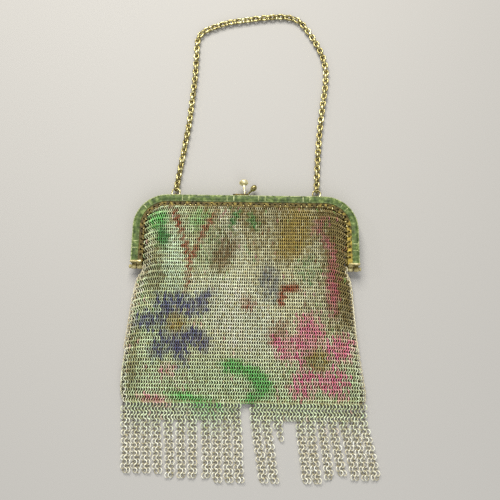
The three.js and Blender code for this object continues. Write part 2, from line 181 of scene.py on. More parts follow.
def new_node(tree, kind, inputs, **settings):
    """A shader node of a kind, with its inputs and settings."""
    node = tree.nodes.new("ShaderNode" + kind)
    for name, value in settings.items():
        setattr(node, name, value)
    return fed(tree, node, inputs)


def mottle(tree, size, detail):
    """Noise with patches about this many millimetres across."""
    place = new_node(tree, "TexCoord", {}).outputs["Object"]
    noise = new_node(tree, "TexNoise", {"Vector": place, "Scale": 1 / (size * MM), "Detail": detail})
    return noise.outputs["Fac"]


def attribute(tree, name, output):
    """What the mesh holds for its points under a name."""
    return new_node(tree, "Attribute", {}, attribute_name=name).outputs[output]


def combined(tree, operation, first, second):
    """Two factors added or multiplied."""
    return new_node(tree, "Math", {0: first, 1: second}, operation=operation).outputs["Value"]


def shades(tree, factor, stops):
    """Colours that follow one another at the given places of a factor."""
    ramp = tree.nodes.new("ShaderNodeValToRGB")
    elements = ramp.color_ramp.elements
    elements.remove(elements[1])
    elements[0].position, elements[0].color = stops[0]
    for position, colour in stops[1:]:
        elements.new(position).color = colour
    tree.links.new(factor, ramp.inputs["Fac"])
    return ramp.outputs["Color"]


def spread(tree, factor, low, high, to_low, to_high):
    """A factor's range from low to high, carried over to another range."""
    ranges = {"From Min": low, "From Max": high, "To Min": to_low, "To Max": to_high}
    return new_node(tree, "MapRange", {"Value": factor, **ranges}).outputs["Result"]


def blended(tree, factor, first, second, mode="MIX"):
    """Two colours mixed by a factor."""
    # The node has sockets of the same names for each kind of value: 6, 7 and 2 are the colours'
    inputs = {"Factor": factor, 6: first, 7: second}
    return new_node(tree, "Mix", inputs, data_type="RGBA", blend_type=mode).outputs[2]


def bumps(tree, height, depth, strength):
    """The slopes of bumps of this many millimetres."""
    inputs = {"Height": height, "Distance": depth * MM, "Strength": strength}
    return new_node(tree, "Bump", inputs).outputs["Normal"]


def green_enamel():
    finish, tree, shader = new_finish("green_enamel")
    cloud = mottle(tree, size=2.0, detail=5)
    ground = shades(tree, cloud, [
        (0.32, paint(28, 48, 11)), (0.43, paint(49, 73, 22)),
        (0.54, paint(69, 91, 34)), (0.68, paint(126, 144, 80)),
    ])
    fine = mottle(tree, size=0.9, detail=3)
    bare = shades(tree, fine, [(0.35, paint(118, 130, 66)), (0.65, paint(198, 204, 150))])
    patches = mottle(tree, size=1.8, detail=3)
    patchy = spread(tree, patches, low=0.34, high=0.56, to_low=0.4, to_high=1)
    rubbed = combined(tree, "MULTIPLY", attribute(tree, "wear", "Fac"), patchy)
    fed(tree, shader, {
        "Base Color": blended(tree, rubbed, ground, bare),
        "Roughness": spread(tree, cloud, *MOTTLE_RANGE, to_low=0.5, to_high=0.68),
        "Specular IOR Level": 0.3,
        "Normal": bumps(tree, mottle(tree, size=0.55, detail=2), depth=0.08, strength=0.7),
    })
    return finish


def seat(along, inset, face):
    """Turns a shape's X inwards at a place on the frame, its Y along it and its Z off the parting.

    Along is measured at that inset, from the centre line.
    """
    bend = (CORNER - inset) * math.pi / 2
    side = math.copysign(1, along)
    past = abs(along) - CORNER_X
    if past <= 0:
        edge, inwards = Vector((along, 0, 0)), Vector((0, -1, 0))
    elif past <= bend:
        turn = math.pi / 2 * (1 - past / bend)
        inwards = Vector((-side * math.cos(turn), -math.sin(turn), 0))
        edge = Vector((side * CORNER_X, -CORNER, 0)) - CORNER * inwards
    else:
        edge, inwards = Vector((side * HALF_WIDTH, -CORNER - (past - bend), 0)), Vector((-side, 0, 0))
    place = edge + inset * inwards + Vector((0, 0, PARTING))
    ways = (inwards, Vector((0, 0, 1)).cross(inwards), Vector((0, 0, face)))
    return Matrix.Translation(place) @ Matrix(ways).transposed().to_4x4()


def only(kind, parts):
    """The points, or the edges, among parts of a mesh."""
    return [part for part in parts if isinstance(part, kind)]


def pulled(bm, rim, step):
    """Extrudes an open rim of edges by a step and gives the new rim."""
    parts = bmesh.ops.extrude_edge_only(bm, edges=rim)["geom"]
    bmesh.ops.translate(bm, verts=only(BMVert, parts), vec=step)
    return [edge for edge in only(BMEdge, parts) if edge.is_boundary]


def swung(bm, rim, centre, turn, steps):
    """Spins an open rim of edges round an upright line and gives the new rim."""
    verts = list(dict.fromkeys(vert for edge in rim for vert in edge.verts))
    turned = bmesh.ops.spin(bm, geom=verts + rim, cent=centre, axis=(0, 0, 1), angle=turn, steps=steps)
    return only(BMEdge, turned["geom_last"])


def run_round_frame(section, face):
    """A closed section of inset, height and wear, run up one leg, over the top and down the other."""
    bm = bmesh.new()
    wear = bm.verts.layers.float.new("wear")
    start = []
    for inset, height, rubbed in section:
        start.append(bm.verts.new((inset - HALF_WIDTH, -DROP, PARTING + face * height)))
        start[-1][wear] = rubbed
    first = [bm.edges.new((start[i - 1], start[i])) for i in range(len(start))]
    rim = pulled(bm, first, (0, DROP - CORNER, 0))
    rim = swung(bm, rim, (-CORNER_X, -CORNER, 0), -math.pi / 2, CORNER_STEPS)
    rim = pulled(bm, rim, (2 * CORNER_X, 0, 0))
    rim = swung(bm, rim, (CORNER_X, -CORNER, 0), -math.pi / 2, CORNER_STEPS)
    last = pulled(bm, rim, (0, CORNER - DROP, 0))
    bmesh.ops.contextual_create(bm, geom=first)
    bmesh.ops.contextual_create(bm, geom=last)
    return bm


def across_field(count):
    """Even insets from one side of the band's crowned field to the other."""
    return [RIM_WIDTH + FIELD_WIDTH * i / (count - 1) for i in range(count)]


def crown_height(inset):
    """Height of the band's crowned field off the parting."""
    share = (inset - RIM_WIDTH) / FIELD_WIDTH
    return FIELD_EDGE + CROWN_RISE * (1 - (2 * share - 1) ** 2)


def band_section():
    field = [(inset, crown_height(inset), FIELD_WEAR) for inset in across_field(CROWN_POINTS)]
    inner = [(BAND_WIDTH - inset, z, INNER_WEAR_SHARE * wear) for inset, z, wear in reversed(RIM)]
    hollow = [(BAND_WIDTH, FLANGE_LOW, 0), (WALL, FLANGE_LOW, 0), (WALL, HALF_GAP, 0)]
    return RIM + field + inner + hollow + [(0, HALF_GAP, PARTING_WEAR)]


def add_tick(bm, along, face):
    """A thin raised bar across the band's face, as one block that follows the crown."""
    wear = bm.verts.layers.float["wear"]
    outline = [(TICK["inset"], TICK["foot"]), (BAND_WIDTH - TICK["inset"], TICK["foot"])]
    crest = reversed(across_field(TICK["points"]))
    outline += [(inset, crown_height(inset) + TICK["rise"]) for inset in crest]
    side = [bm.verts.new((inset, -TICK["thickness"] / 2, height)) for inset, height in outline]
    far = only(BMVert, bmesh.ops.extrude_face_region(bm, geom=[bm.faces.new(side)])["geom"])
    bmesh.ops.translate(bm, verts=far, vec=(0, TICK["thickness"], 0))
    for vert in side + far:
        vert[wear] = TICK["wear"]
    bmesh.ops.transform(bm, verts=side + far, matrix=seat(along, 0, face))


def show(name, mesh, finish):
    """An object of a finished mesh, which goes with the purse's one body."""
    mesh.materials.append(finish)
    piece = placed(name, mesh)
    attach(piece, "root")
    return piece


def finished(name, bm, finish):
    """A piece from a bmesh in the purse's millimetres, smooth but for its sharp creases."""
    bmesh.ops.recalc_face_normals(bm, faces=bm.faces)
    bmesh.ops.transform(bm, verts=bm.verts, matrix=IN_PART)
    for face in bm.faces:
        face.smooth = True
    for edge in bm.edges:
        edge.smooth = edge.calc_face_angle(0) < CREASE
    return show(name, meshed(name, bm), finish)


enamel = green_enamel()
for half, face in HALVES.items():
    band_bm = run_round_frame(band_section(), face)
    for middle in TICK_PAIRS:
        for step in (-TICK_PAIR_GAP / 2, TICK_PAIR_GAP / 2):
            add_tick(band_bm, middle + step, face)
            add_tick(band_bm, -middle - step, face)
    band = finished(half + "_band", band_bm, enamel)
    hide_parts("frame_" + half)

# The flanges and feet: a gilt strip inside each band, dulled, is pierced along its middle for the
# rings that carry the mesh. Its dark tones are partly painted shade below the band, and it is
# painted lighter towards the right foot as painted light. A plate and a small bar close each foot,
# and a barrel of the hinge is soldered below them. The back half has two bored lugs on its top edge for
# the chain.
FLANGE_WIDTH = 2.1
FLANGE_HIGH = 3.1
FLANGE_MIDDLE = (FLANGE_LOW + FLANGE_HIGH) / 2
FLANGE_LAP = 0.1
FLANGE_SOFT = 0.12
PIERCING = {"radius": 0.5, "pitch": 2.36, "end_margin": 1.6, "sides": 14}
HINGE_DROP = 1.45
HINGE_Y = -DROP - HINGE_DROP
TUBE_STEPS = 24
BARREL = {"radius": 1.1, "bore": 0.75, "chamfer": 0.15, "length": 2.15}
BARREL_START = {"front": 45.2, "back": 47.75}
FOOT_PLATE = {"depth": 1.0, "soft": 0.1}
FOOT_BAR = {"below": 0.3, "above": 0.45, "top": 3.85, "soft": 0.12}
PROUD = 0.06
BARREL_WEB = {"share": 0.9, "soft": 0.06}
LUG = {"radius": 1.2, "bore": 0.65, "chamfer": 0.1, "across": 32.2, "above": 1.2, "height": 2.0,
       "thickness": 0.8}
LUG_WEB = {"share": 0.9, "soft": 0.08}
MERGE_GAP = 0.002
# Places of the gilt's colours in its mottle, from the most tarnished to the brightest
GILT_PLACES = (0.32, 0.45, 0.58, 0.72, 0.86)
TARNISH_ROUGHNESS = 0.15
LACQUER_ROUGHNESS = 0.18
# The flanges are painted lighter towards the right foot, as painted light on the leg that faces
# the light: the way there, and where that begins and is full along it
PAINTED_LIGHT_WAY = Vector((0.5, -1, 0))
PAINTED_LIGHT_FROM = 26
PAINTED_LIGHT_FULL = 48


def measured(tree, way):
    """How far places lie along a way, in metres."""
    place = new_node(tree, "TexCoord", {}).outputs["Object"]
    return new_node(tree, "VectorMath", {0: place, 1: way}, operation="DOT_PRODUCT").outputs["Value"]


def gilt_metal(name, metallic, smoothest, colours, lacquer, kept=0.0):
    """Worn gilding over brass, in colours from the most tarnished to the brightest and smoothest. Kept is
    painted light that lightens it along a way.
    """
    finish, tree, shader = new_finish(name)
    cloud = mottle(tree, size=1.7, detail=4)
    # Painted light: the gilding lightens towards the right foot
    if kept:
        start = PAINTED_LIGHT_WAY.dot(Vector((CENTRE_X, TOP_Y, 0)))
        low, high = start + PAINTED_LIGHT_FROM * MM, start + PAINTED_LIGHT_FULL * MM
        painted_light = spread(tree, measured(tree, PAINTED_LIGHT_WAY), low, high, to_low=0, to_high=kept)
        cloud = combined(tree, "ADD", cloud, painted_light)
    roughest = smoothest + TARNISH_ROUGHNESS
    fed(tree, shader, {
        "Base Color": shades(tree, cloud, list(zip(GILT_PLACES, colours))),
        "Metallic": metallic,
        "Roughness": spread(tree, cloud, *MOTTLE_RANGE, to_low=roughest, to_high=smoothest),
        "Coat Weight": lacquer,
        "Coat Roughness": LACQUER_ROUGHNESS,
        "Normal": bumps(tree, mottle(tree, size=0.4, detail=2), depth=0.02, strength=0.5),
    })
    return finish


def pierced(strip, drill):
    """The strip's shape with every shape of the drill's cut out of it."""
    blanks = [placed("blank", meshed("blank", bm)) for bm in (strip, drill)]
    holes = blanks[0].modifiers.new("holes", "BOOLEAN")
    holes.operation = "DIFFERENCE"
    holes.solver = "EXACT"
    holes.object = blanks[1]
    result = bmesh.new()
    result.from_object(blanks[0], bpy.context.evaluated_depsgraph_get())
    for blank in blanks:
        bpy.data.meshes.remove(blank.data)
    return result


def edges_of(verts):
    """The edges that meet at some points."""
    return list(dict.fromkeys(edge for vert in verts for edge in vert.link_edges))


def add_block(bm, low, high, soft):
    """A block between two corners with softened edges."""
    size = Vector(high) - Vector(low)
    middle = (Vector(high) + Vector(low)) / 2
    verts = bmesh.ops.create_cube(bm, size=1)["verts"]
    bmesh.ops.transform(bm, verts=verts, matrix=Matrix.Translation(middle) @ Matrix.Diagonal((*size, 1)))
    bmesh.ops.bevel(
        bm, geom=edges_of(verts), offset=soft, segments=2, profile=0.5, affect="EDGES", material=-1)


def spun(bm, geom, axis, steps, matrix):
    """Spins points and edges once round an axis through the origin, moves the shape, gives its points."""
    before = set(bm.verts) - set(only(BMVert, geom))
    bmesh.ops.spin(
        bm, geom=geom, cent=(0, 0, 0), axis=axis, angle=2 * math.pi, steps=steps, use_merge=True)
    fresh = [vert for vert in bm.verts if vert not in before]
    bmesh.ops.transform(bm, verts=fresh, matrix=matrix)
    return fresh


def add_turned(bm, profile, steps, matrix, closed=False):
    """A shape turned round X from points of place along it and radius."""
    verts = [bm.verts.new((along, 0, radius)) for along, radius in profile]
    edges = [bm.edges.new(pair) for pair in zip(verts, verts[1:])]
    if closed:
        edges.append(bm.edges.new((verts[-1], verts[0])))
    fresh = spun(bm, verts + edges, (1, 0, 0), steps, matrix)
    bmesh.ops.remove_doubles(bm, verts=fresh, dist=MERGE_GAP)


def add_tube(bm, x, size, axis):
    """A short tube along X with chamfered ends."""
    radius, bore, chamfer = size["radius"], size["bore"], size["chamfer"]
    profile = [
        (x[0], bore), (x[1], bore), (x[1], radius - chamfer), (x[1] - chamfer, radius),
        (x[0] + chamfer, radius), (x[0], radius - chamfer),
    ]
    add_turned(bm, profile, TUBE_STEPS, axis, closed=True)


def piercing_places():
    """Places along the flange's middle, evenly spaced from foot to foot."""
    inset = BAND_WIDTH + FLANGE_WIDTH / 2
    half = DROP - CORNER - PIERCING["end_margin"] + (CORNER - inset) * math.pi / 2 + CORNER_X
    count = int(2 * half / PIERCING["pitch"])
    return inset, [(i - (count - 1) / 2) * PIERCING["pitch"] for i in range(count)]


def flange_strip(face):
    outer, inner = BAND_WIDTH - FLANGE_LAP, BAND_WIDTH + FLANGE_WIDTH
    outline = [
        (outer, FLANGE_LOW), (inner - FLANGE_SOFT, FLANGE_LOW), (inner, FLANGE_LOW + FLANGE_SOFT),
        (inner, FLANGE_HIGH - FLANGE_SOFT), (inner - FLANGE_SOFT, FLANGE_HIGH), (outer, FLANGE_HIGH),
    ]
    strip = run_round_frame([(inset, height, 0) for inset, height in outline], face)
    drill = bmesh.new()
    inset, places = piercing_places()
    for along in places:
        bmesh.ops.create_cone(
            drill, cap_ends=True, segments=PIERCING["sides"], radius1=PIERCING["radius"],
            radius2=PIERCING["radius"], depth=2 * (FLANGE_HIGH - FLANGE_LOW),
            matrix=seat(along, inset, face) @ Matrix.Translation((0, 0, FLANGE_MIDDLE)))
    for bm in (strip, drill):
        bmesh.ops.recalc_face_normals(bm, faces=bm.faces)
    return pierced(strip, drill)


def add_foot(bm, side, half):
    """The plate and the bar across a foot's end, and a barrel of the hinge with its web."""
    face = HALVES[half]
    inner = BARREL_START["front"]
    barrel = (BARREL_START[half], BARREL_START[half] + BARREL["length"])
    blocks = [
        {"x": (inner, HALF_WIDTH - WALL / 2), "y": (-DROP - PROUD, -DROP + FOOT_PLATE["depth"]),
         "heights": (HALF_GAP, FLANGE_MIDDLE), "soft": FOOT_PLATE["soft"]},
        {"x": (inner, HALF_WIDTH + PROUD), "y": (-DROP - FOOT_BAR["below"], -DROP + FOOT_BAR["above"]),
         "heights": (FLANGE_LOW, FOOT_BAR["top"]), "soft": FOOT_BAR["soft"]},
        {"x": barrel, "y": (HINGE_Y + BARREL["bore"], -DROP + FOOT_PLATE["depth"] / 2),
         "heights": (HALF_GAP, BARREL_WEB["share"] * BARREL["radius"]), "soft": BARREL_WEB["soft"]},
    ]
    for block in blocks:
        x = sorted(side * across for across in block["x"])
        z = sorted(PARTING + face * height for height in block["heights"])
        low, high = zip(x, block["y"], z)
        add_block(bm, low, high, block["soft"])
    ends = sorted(side * across for across in barrel)
    add_tube(bm, ends, BARREL, Matrix.Translation((0, HINGE_Y, PARTING)))


def add_lug(bm, side):
    """A bored ear on the back half's top edge."""
    middle, half_thick = side * LUG["across"], LUG["thickness"] / 2
    x = (middle - half_thick, middle + half_thick)
    add_tube(bm, x, LUG, Matrix.Translation((0, LUG["above"], LUG["height"])))
    half_web = LUG_WEB["share"] * LUG["radius"]
    low = (x[0], -WALL / 2, LUG["height"] - half_web)
    high = (x[1], LUG["above"] - LUG["bore"], LUG["height"] + half_web)
    add_block(bm, low, high, LUG_WEB["soft"])


# Dull gilding whose darkest tones are partly painted shade where the flange lies below the band
DULL_AND_SHADED = [
    paint(46, 36, 10), paint(74, 61, 18), paint(101, 86, 28), paint(148, 128, 48), paint(208, 182, 72),
]
BRIGHT = [paint(104, 94, 48), paint(160, 146, 84), paint(212, 200, 136), paint(248, 242, 198)]
PALE = [paint(178, 162, 106), paint(222, 208, 152), paint(242, 232, 184), paint(252, 248, 222)]
SOFT = [paint(122, 108, 62), paint(168, 154, 100), paint(200, 188, 136), paint(230, 220, 174)]
# The flanges' gilding is lighter towards the right foot as painted light
dull_shaded_gilt = gilt_metal("dull_shaded_gilt", metallic=0.4, smoothest=0.5, colours=DULL_AND_SHADED, lacquer=0.0, kept=0.2)
gilt = gilt_metal("gilt", metallic=0.95, smoothest=0.22, colours=BRIGHT, lacquer=0.8)
pale_gilt = gilt_metal("pale_gilt", metallic=0.5, smoothest=0.3, colours=PALE, lacquer=0.3)
soft_gilt = gilt_metal("soft_gilt", metallic=0.45, smoothest=0.4, colours=SOFT, lacquer=0.0)
for half, face in HALVES.items():
    flange_bm = flange_strip(face)
    if half == "back":
        add_lug(flange_bm, -1)
        add_lug(flange_bm, 1)
    feet_bm = bmesh.new()
    add_foot(feet_bm, -1, half)
    add_foot(feet_bm, 1, half)
    flange = finished(half + "_flange", flange_bm, dull_shaded_gilt)
    feet = finished(half + "_feet", feet_bm, soft_gilt)
    for piece in (flange, feet):
        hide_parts("frame_" + half)

# The hinge pins: turned brass, pushed through the barrels at each foot from outside and held
# by a small round head.
PIN = {"radius": 0.45, "start": 45.0, "neck": 50.2, "head": 0.85, "rim": 0.5, "dome": 0.4, "steps": 20}
DOME_TURNS = (0, 0.5, 1, 1.3)
SIDES = {"left": -1, "right": 1}

for side_name, side in SIDES.items():
    pin_bm = bmesh.new()
    start, neck, rim_end = PIN["start"], PIN["neck"], PIN["neck"] + PIN["rim"]
    pin_profile = [(start, 0), (start, PIN["radius"]), (neck, PIN["radius"]), (neck, PIN["head"])]
    for turn in DOME_TURNS:
        pin_profile.append((rim_end + PIN["dome"] * math.sin(turn), PIN["head"] * math.cos(turn)))
    pin_profile.append((rim_end + PIN["dome"], 0))
    mirrored = [(side * along, radius) for along, radius in pin_profile]
    add_turned(pin_bm, mirrored, PIN["steps"], Matrix.Translation((0, HINGE_Y, PARTING)))
    pin = finished("pin_" + side_name, pin_bm, soft_gilt)
    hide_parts("hinge_pin_" + side_name)

# The kiss clasp: a flat brass leaf on each half's top edge carries a gilt ball, and the two balls
# snap past each other. The front ball is flattened, paler than the back one, and sits on a turned taper.
# The back one is an olive on a strip that goes on from the leaf and bends up.
LEAF = {"thickness": 0.6, "width": 1.8, "low": 0.3, "soft": 0.14}
BALL_START = 0.86 * math.pi
BALL_POINTS = 11
BALL_STEPS = 28
FRONT_CLASP = {"leaf": (-6, 0.8), "foot": -0.6, "height": 6.0, "stem": (0.3, 0.55),
               "ball": (-1.2, 6.8, 5.4), "along": 1.35, "across": 2.1}
BACK_CLASP = {"leaf": (-4.4, -3.1), "height": 2.2, "stem": (0.34, 0.5),
              "ball": (3.3, 5, 3.3), "along": 1.75, "across": 1.35}
BEND = {"radius": 5, "angle": math.radians(50), "steps": 12, "width": 1.2, "thickness": 0.5}


def leaf(post):
    half_width = LEAF["width"] / 2
    low = (post["leaf"][0], LEAF["low"], post["height"] - half_width)
    high = (post["leaf"][1], LEAF["low"] + LEAF["thickness"], post["height"] + half_width)
    bm = bmesh.new()
    add_block(bm, low, high, LEAF["soft"])
    return bm


def ball_on_stem(post, foot):
    """A leaning stem with its two end radii, and a ball with its half sizes along it and across."""
    lean = Vector(post["ball"]) - foot
    reach, along, across = lean.length, post["along"], post["across"]
    profile = [(0, 0), (0, post["stem"][0]), (reach - along, post["stem"][1])]
    for turn in np.linspace(BALL_START, 0, BALL_POINTS):
        profile.append((reach + along * math.cos(turn), across * math.sin(turn)))
    upright = lean.to_track_quat("X", "Z").to_matrix().to_4x4()
    bm = bmesh.new()
    add_turned(bm, profile, BALL_STEPS, Matrix.Translation(foot) @ upright)
    return bm


def add_bend(bm, start):
    """A flat strip that goes on from a leaf's end and bends up."""
    up, aside = BEND["thickness"] / 2, BEND["width"] / 2
    corners = ((up, aside), (up, -aside), (-up, -aside), (-up, aside))
    first = bm.faces.new([bm.verts.new(start + Vector((0, y, z))) for y, z in corners])
    centre = start + Vector((0, BEND["radius"], 0))
    bmesh.ops.spin(
        bm, geom=[first], cent=centre, axis=(0, 0, 1), angle=BEND["angle"], steps=BEND["steps"])


leaf_middle = LEAF["low"] + LEAF["thickness"] / 2
front_foot = Vector((FRONT_CLASP["foot"], leaf_middle, FRONT_CLASP["height"]))
bend_start = Vector((BACK_CLASP["leaf"][1], leaf_middle, BACK_CLASP["height"]))
bend_way = Vector((math.sin(BEND["angle"]), 1 - math.cos(BEND["angle"]), 0))
bend_end = bend_start + BEND["radius"] * bend_way
back_leaf_bm = leaf(BACK_CLASP)
add_bend(back_leaf_bm, bend_start)
for clasp_name, leaf_bm, ball_bm, ball_finish in (
    ("front", leaf(FRONT_CLASP), ball_on_stem(FRONT_CLASP, front_foot), pale_gilt),
    ("back", back_leaf_bm, ball_on_stem(BACK_CLASP, bend_end), gilt),
):
    clasp_leaf = finished("clasp_leaf_" + clasp_name, leaf_bm, dull_shaded_gilt)
    clasp_ball = finished("clasp_knob_" + clasp_name, ball_bm, ball_finish)
    for piece in (clasp_leaf, clasp_ball):
        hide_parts("clasp_ball_" + clasp_name)

# The handle: a round wire ring through each lug, and between them a chain of oval links bent from
# flat gilt wire, each turned across the one before. The chain twists a little from end to end and
# lies on the surface in the curve it fell in.
END_RING = {"radius": 1.8, "wire": 0.35, "around": 32, "sides": 10}
LINK = {"length": 3.0, "width": 2.25, "thick": 0.4, "broad": 0.64, "end_steps": 6, "sides": 8}
LINK_PITCH = 2.12
LINK_TWIST = math.radians(28)
CHAIN_HEIGHT = 1.6
CHAIN_ROUTE = [
    (-32.1, 5.4), (-31.2, 12.2), (-29.9, 21.3), (-28.7, 30), (-27.6, 38.3), (-26.9, 47), (-26.2, 56),
    (-25.7, 65), (-25.5, 73), (-25.4, 80.6), (-24.6, 85.4), (-21.8, 88.8), (-17, 91.3), (-10.8, 93.6),
    (-4.1, 95), (3, 96.2), (9.5, 97.1), (16, 97.6), (21.6, 96.8), (25.3, 94.8), (28.2, 91.2),
    (30.8, 87), (33.4, 82.3), (35.6, 77.4), (37.2, 72), (37.8, 65.6), (37.2, 57.4), (36.3, 51),
    (35.4, 44), (34.3, 35), (33.5, 26), (32.8, 16), (32.3, 5.4),
]
ROUTE_STEPS = 24
ROUTE_SIGHT = 0.5


def wire_circle(bm, sides, radius, place, turned_about):
    """A circle of wire at a place, turned upright about an axis, to be spun or pulled along."""
    matrix = Matrix.Translation(place) @ Matrix.Rotation(math.pi / 2, 4, turned_about)
    return bmesh.ops.create_circle(bm, segments=sides, radius=radius, matrix=matrix)["verts"]


def add_ring(bm, size, matrix):
    """A round wire ring about Z."""
    circle = wire_circle(bm, size["sides"], size["wire"], (size["radius"], 0, 0), "X")
    spun(bm, circle + edges_of(circle), (0, 0, 1), size["around"], matrix)


def points_and_faces(bm):
    """A small shape's points and faces, to be copied many times."""
    bmesh.ops.recalc_face_normals(bm, faces=bm.faces)
    bm.verts.index_update()
    points = np.array([vert.co for vert in bm.verts])
    faces = np.array([[vert.index for vert in each.verts] for each in bm.faces])
    bm.free()
    return points, faces


def ring_shape(size):
    bm = bmesh.new()
    add_ring(bm, size, Matrix.Identity(4))
    return points_and_faces(bm)


def link_shape(size):
    """An oval link along X with straight sides and round ends. Its sizes are to the wire's middle."""
    bm = bmesh.new()
    straight = (size["length"] - size["width"]) / 2
    circle = wire_circle(bm, size["sides"], size["thick"], (-straight, -size["width"] / 2, 0), "Y")
    bmesh.ops.scale(bm, verts=circle, vec=(1, 1, size["broad"] / size["thick"]))
    rim = edges_of(circle)
    for end in (1, -1):
        rim = pulled(bm, rim, (end * 2 * straight, 0, 0))
        rim = swung(bm, rim, (end * straight, 0, 0), math.pi, size["end_steps"])
    bmesh.ops.remove_doubles(bm, verts=bm.verts, dist=MERGE_GAP)
    return points_and_faces(bm)


def joined(name, shape, centres, axes, finish, tints=None):
    """One piece of many copies of a shape, each at its centre and turned to its axes.

    Tints give each point of each copy its colour.
    """
    points, faces = shape
    places = centres[:, None, :] + np.einsum("nij,pj->npi", axes, points)
    places = places * MM + np.array((CENTRE_X, TOP_Y, 0))
    corners = faces[None] + (np.arange(len(centres)) * len(points))[:, None, None]
    mesh = bpy.data.meshes.new(name)
    mesh.from_pydata(places.reshape(-1, 3).tolist(), [], corners.reshape(-1, faces.shape[1]).tolist())
    mesh.shade_smooth()
    if tints is not None:
        tint = mesh.color_attributes.new("tint", "FLOAT_COLOR", "POINT")
        tint.data.foreach_set("color", tints.astype(np.float32).ravel())
    return show(name, mesh, finish)


def unit(vectors):
    """Vectors of length one along the given ones."""
    return vectors / np.linalg.norm(vectors, axis=-1, keepdims=True)


def smooth_route(points, steps):
    """Points close together along a smooth curve through the given ones."""
    ends = np.concatenate([[2 * points[0] - points[1]], points, [2 * points[-1] - points[-2]]])
    t = np.arange(steps)[:, None] / steps
    spans = []
    for a, b, c, d in zip(ends, ends[1:], ends[2:], ends[3:]):
        curve = 2 * b + (c - a) * t + (2 * a - 5 * b + 4 * c - d) * t**2 + (3 * b - a - 3 * c + d) * t**3
        spans.append(curve / 2)
    return np.concatenate(spans + [points[-1:]])


def at_lengths(line, lengths):
    """Points at given lengths along a line of points."""
    run = np.concatenate([[0], np.cumsum(np.linalg.norm(np.diff(line, axis=0), axis=1))])
    return np.stack([np.interp(lengths, run, line[:, k]) for k in range(line.shape[1])], axis=-1)


def line_length(line):
    return np.linalg.norm(np.diff(line, axis=0), axis=1).sum()


for side_name, side in SIDES.items():
    ring_bm = bmesh.new()
    centre = (side * LUG["across"], LUG["above"] + END_RING["radius"], LUG["height"])
    add_ring(ring_bm, END_RING, Matrix.Translation(centre))
    end_ring = finished("end_ring_" + side_name, ring_bm, gilt)
    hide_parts("chain_ring_" + side_name)

# An odd number of links, so that the first and the last stand upright in the end rings
route = smooth_route(np.array(CHAIN_ROUTE, float), ROUTE_STEPS)
link_count = 2 * round(line_length(route) / (2 * LINK_PITCH)) + 1
shares = np.linspace(0, 1, link_count)
stations = line_length(route) * shares
link_spots = at_lengths(route, stations)
ahead = np.zeros((link_count, 3))
sights = [at_lengths(route, stations + shift) for shift in (ROUTE_SIGHT, -ROUTE_SIGHT)]
ahead[:, :2] = unit(sights[0] - sights[1])
across = np.cross((0, 0, 1), ahead)
upright = np.arange(link_count) % 2 == 0
rolls = (math.pi / 2 * upright + LINK_TWIST * (1 - 2 * shares))[:, None]
link_up = np.cos(rolls) * np.array((0, 0, 1)) + np.sin(rolls) * across
link_axes = np.stack([ahead, np.cross(link_up, ahead), link_up], axis=-1)
link_centres = np.column_stack([link_spots, np.full(link_count, CHAIN_HEIGHT)])
chain = joined("chain_links", link_shape(LINK), link_centres, link_axes, gilt)
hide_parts("chain")

# The bag: a tube of fine ring mesh, each ring linked through two above and two below, with
# rows that lean left and right by turns. The rings are soft metal wire, silvered, and printed
# with flowers that have rubbed thin. There is no lining, so the mesh shows dark between them.
# Each ring's inner side is coloured darker, as painted shade on its low arcs.
RING = {"radius": 0.98, "wire": 0.195, "around": 8, "sides": 4}
LEAN = math.radians(36.6)
LEAN_SPREAD = 0.03
PLACE_SPREAD = 0.03
COLUMNS = 95
ROW_PITCH = 1.468
# In rings: where the rows start, and how far every second row is shifted along
ROW_START = 0.25
ROW_SHIFT = 0.5
EDGE_INSET = 0.72
SIDE_INSET = 2.0
SIDE_BLEND = 8
SIDE_POINTS = 60
BACK_MIDDLE = 0.84
FRONT_DEPTH = 0.65
FOOT_Y = -90.5
FOOT_ROW_Y = -89.9
FOOT_LEAN = 0.7 * LEAN
LAST_ROW_Y = -89.5
MOUTH_END = -31.5
BAG_CORNER = 9.4
ARC_POINTS = 16
MID_CORNER = 45
FOLD_FADE = 12
SLOPE_STEP = 0.002
# The turn from the front wall to the back: its top, how far it may bulge, the pitch of its rings,
# and how near they come to the walls, in radians
TURN = {"top": -32, "bulge": 1.2, "pitch": 1.1, "margin": 0.3}
BAG_SIDES = [
    {"y": -31.5, "left": 44.4, "right": 44.4},
    {"y": -34.6, "left": 44.5, "right": 44.3},
    {"y": -38, "left": 47.2, "right": 46.4},
    {"y": -44, "left": 48.9, "right": 47.4},
    {"y": -57, "left": 50.5, "right": 48.6},
    {"y": -69, "left": 51.9, "right": 49.7},
    {"y": -80, "left": 52.8, "right": 51.2},
    {"y": -87, "left": 52.4, "right": 52},
    {"y": -90.5, "left": 51, "right": 51.4},
]
BAG_HEIGHTS = [
    {"y": -5.6, "edge": 7.45, "crown": 7.45},
    {"y": -15, "edge": 7.45, "crown": 7.3},
    {"y": -31.5, "edge": 7.4, "crown": 7.2},
    {"y": -38, "edge": 5, "crown": 6.8},
    {"y": -44, "edge": 3.8, "crown": 6.4},
    {"y": -57, "edge": 3.2, "crown": 5.6},
    {"y": -69, "edge": 3, "crown": 4.9},
    {"y": -80, "edge": 2.9, "crown": 4.1},
    {"y": -90.5, "edge": 2.8, "crown": 2.9},
]
FOLDS = [
    {"x": -40, "y": -52, "length": 22, "width": 4, "slant": 0.16, "rise": 0.7},
    {"x": -31, "y": -54, "length": 20, "width": 3.5, "slant": 0.12, "rise": -0.7},
    {"x": -12, "y": -58, "length": 26, "width": 6, "slant": -0.1, "rise": 0.5},
    {"x": 10, "y": -60, "length": 24, "width": 5, "slant": 0.08, "rise": -0.5},
    {"x": 27, "y": -58, "length": 26, "width": 5, "slant": -0.05, "rise": 0.5},
    {"x": 40, "y": -54, "length": 20, "width": 3.5, "slant": -0.1, "rise": -0.6},
]


def ring_colour(red, green, blue):
    """A colour as it looks, from 0 to 255, as three linear values for the tint of rings."""
    return np.array(paint(red, green, blue)[:3])


